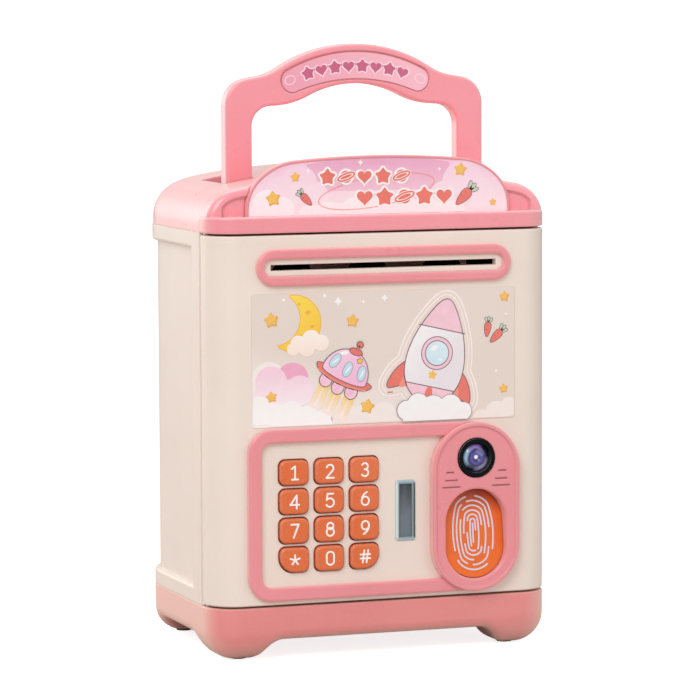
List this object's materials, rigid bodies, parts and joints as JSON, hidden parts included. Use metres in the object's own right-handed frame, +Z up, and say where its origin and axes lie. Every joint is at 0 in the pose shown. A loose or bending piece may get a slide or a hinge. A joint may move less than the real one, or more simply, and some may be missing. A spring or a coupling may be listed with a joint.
{
  "type": "toy safe coin bank",
  "caption": "Toy electronic safe for coins and banknotes: pink feet, lid and folding handle, cream box, hinged door with keypad, note slot, lens and finger pad.",
  "frame": {"origin": "at the underside of the rubber feet, under the middle of the whole width and of the whole depth, the proud sensor pod included", "axes": "+Z up, +X to the right of someone facing the door, the door faces -Y"},
  "size_m": [0.135, 0.1002, 0.228],
  "materials": {
    "pink_shell": "satin moulded ABS",
    "pink_trim": "satin moulded ABS",
    "cream_shell": "fine matt moulded ABS",
    "print": "printed and lacquered",
    "clear_film": "clear printed film",
    "orange_key": "glossy ABS",
    "black_plastic": "black ABS",
    "grey_plastic": "grey ABS",
    "white_plastic": "white nylon",
    "lens": "coated lens",
    "window": "smoked window",
    "window_chrome": "plated trim",
    "rubber": "soft rubber",
    "silicone": "silicone",
    "steel": "zinc plated",
    "brass": "bare",
    "circuit_board": "solder mask",
    "cell": "plain wrap",
    "copper_coil": "enamelled wire",
    "led": "diffused"
  },
  "bodies": {
    "housing": {"base": "pink_shell", "foot_pads": "rubber", "housing_screws": "steel", "rear_shell": "cream_shell", "strike_plate": "steel", "top_cover": "pink_shell", "coin_slot_liner": "pink_trim", "sign_plate": "pink_trim", "sign_face": "print", "handle_pins": "steel", "hinge_pins": "steel"},
    "door": {"door": "cream_shell", "slot_bezel": "pink_trim", "slot_liner": "cream_shell", "picture_film": "clear_film", "keypad_frame": "pink_trim", "sensor_pod": "pink_trim", "lens_ring": "black_plastic", "lens_iris": "black_plastic", "lens_glass": "lens", "keypad_mat": "silicone", "keypad_board": "circuit_board", "board_screws": "steel", "status_leds": "led", "window_bezel": "window_chrome", "window_lens": "window", "speaker": "black_plastic", "sensor_board": "circuit_board", "feeder_bracket": "white_plastic", "feed_motor": "steel", "latch_solenoid": "copper_coil", "latch_spring": "steel", "door_inner_cover": "cream_shell", "cover_back_screws": "steel", "battery_cells": "cell", "battery_contacts": "steel"},
    "handle": {"handle": "pink_shell", "handle_plaque": "print"},
    "feed_roller": {"feed_shaft": "steel", "feed_tyres": "rubber", "feed_gear": "white_plastic"},
    "pinch_roller": {"pinch_roller": "grey_plastic"},
    "motor_rotor": {"motor_shaft": "steel", "motor_pinion": "brass"},
    "latch_bolt": {"latch_bolt": "steel"},
    "fingerprint_pad": {"fingerprint_pad": "orange_key"},
    "battery_cover": {"battery_cover": "cream_shell", "battery_cover_screw": "steel"},
    "key_1": {"key_1": "orange_key"},
    "key_2": {"key_2": "orange_key"},
    "key_3": {"key_3": "orange_key"},
    "key_4": {"key_4": "orange_key"},
    "key_5": {"key_5": "orange_key"},
    "key_6": {"key_6": "orange_key"},
    "key_7": {"key_7": "orange_key"},
    "key_8": {"key_8": "orange_key"},
    "key_9": {"key_9": "orange_key"},
    "key_star": {"key_star": "orange_key"},
    "key_0": {"key_0": "orange_key"},
    "key_hash": {"key_hash": "orange_key"}
  },
  "joints": [
    {"name": "door_hinge", "type": "hinge", "parent": "housing", "child": "door", "pos_m": [-0.0655, -0.0339, 0.09], "axis": [0, 0, -1], "range_deg": [0, 95]},
    {"name": "handle_fold", "type": "hinge", "parent": "housing", "child": "handle", "pos_m": [0, -0.0118, 0.168], "axis": [-1, 0, 0], "range_deg": [0, 62]},
    {"name": "feed_roller_spin", "type": "hinge", "parent": "door", "child": "feed_roller", "pos_m": [0, -0.0279, 0.14035], "axis": [1, 0, 0], "continuous": true},
    {"name": "pinch_roller_spin", "type": "hinge", "parent": "door", "child": "pinch_roller", "pos_m": [0, -0.0279, 0.15015], "axis": [1, 0, 0], "continuous": true},
    {"name": "motor_spin", "type": "hinge", "parent": "door", "child": "motor_rotor", "pos_m": [0.0489, -0.0279, 0.12535], "axis": [1, 0, 0], "continuous": true},
    {"name": "latch_slide", "type": "slide", "parent": "door", "child": "latch_bolt", "axis": [1, 0, 0], "range_m": [0, 0.0034], "deforming": ["latch_spring"]},
    {"name": "fingerprint_press", "type": "slide", "parent": "door", "child": "fingerprint_pad", "axis": [0, 1, 0], "range_m": [0, 0.001]},
    {"name": "battery_cover_lift", "type": "slide", "parent": "door", "child": "battery_cover", "axis": [0, 1, 0], "range_m": [0, 0.02]},
    {"name": "key_1_press", "type": "slide", "parent": "door", "child": "key_1", "axis": [0, 1, 0], "range_m": [0, 0.0012]},
    {"name": "key_2_press", "type": "slide", "parent": "door", "child": "key_2", "axis": [0, 1, 0], "range_m": [0, 0.0012]},
    {"name": "key_3_press", "type": "slide", "parent": "door", "child": "key_3", "axis": [0, 1, 0], "range_m": [0, 0.0012]},
    {"name": "key_4_press", "type": "slide", "parent": "door", "child": "key_4", "axis": [0, 1, 0], "range_m": [0, 0.0012]},
    {"name": "key_5_press", "type": "slide", "parent": "door", "child": "key_5", "axis": [0, 1, 0], "range_m": [0, 0.0012]},
    {"name": "key_6_press", "type": "slide", "parent": "door", "child": "key_6", "axis": [0, 1, 0], "range_m": [0, 0.0012]},
    {"name": "key_7_press", "type": "slide", "parent": "door", "child": "key_7", "axis": [0, 1, 0], "range_m": [0, 0.0012]},
    {"name": "key_8_press", "type": "slide", "parent": "door", "child": "key_8", "axis": [0, 1, 0], "range_m": [0, 0.0012]},
    {"name": "key_9_press", "type": "slide", "parent": "door", "child": "key_9", "axis": [0, 1, 0], "range_m": [0, 0.0012]},
    {"name": "key_star_press", "type": "slide", "parent": "door", "child": "key_star", "axis": [0, 1, 0], "range_m": [0, 0.0012]},
    {"name": "key_0_press", "type": "slide", "parent": "door", "child": "key_0", "axis": [0, 1, 0], "range_m": [0, 0.0012]},
    {"name": "key_hash_press", "type": "slide", "parent": "door", "child": "key_hash", "axis": [0, 1, 0], "range_m": [0, 0.0012]}
  ],
  "couplings": [
    {"joint": "pinch_roller_spin", "follows": "feed_roller_spin", "ratio": -1.7143},
    {"joint": "motor_spin", "follows": "feed_roller_spin", "ratio": -2.5714}
  ]
}
